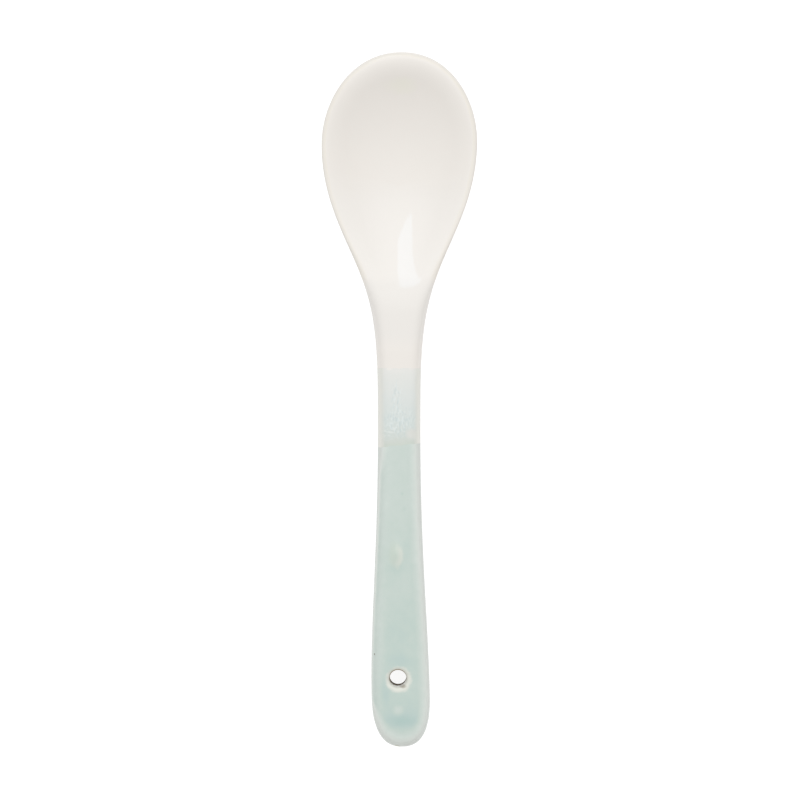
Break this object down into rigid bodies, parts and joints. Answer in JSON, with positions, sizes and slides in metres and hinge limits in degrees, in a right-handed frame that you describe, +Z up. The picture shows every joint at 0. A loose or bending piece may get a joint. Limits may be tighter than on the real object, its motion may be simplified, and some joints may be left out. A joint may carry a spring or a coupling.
{
  "type": "spoon",
  "caption": "Small stoneware spoon with an oval bowl, a slender flat-faced handle dipped in celadon and white glaze that overlap in a band, and a hanging hole.",
  "frame": {"origin": "centre of the spoon's bounding box, on the surface that it lies on", "axes": "+Y along the spoon towards the bowl tip, +Z up out of the bowl's hollow, +X across to the right seen from above with the bowl away"},
  "size_m": [0.0314, 0.14, 0.0109],
  "materials": {
    "stoneware": "matte",
    "white_glaze": "gloss",
    "overlap_glaze": "gloss",
    "celadon_glaze": "gloss"
  },
  "bodies": {
    "root": {"clay_body": "stoneware", "white_glaze": "white_glaze", "overlap_glaze": "overlap_glaze", "celadon_glaze": "celadon_glaze"}
  },
  "joints": []
}
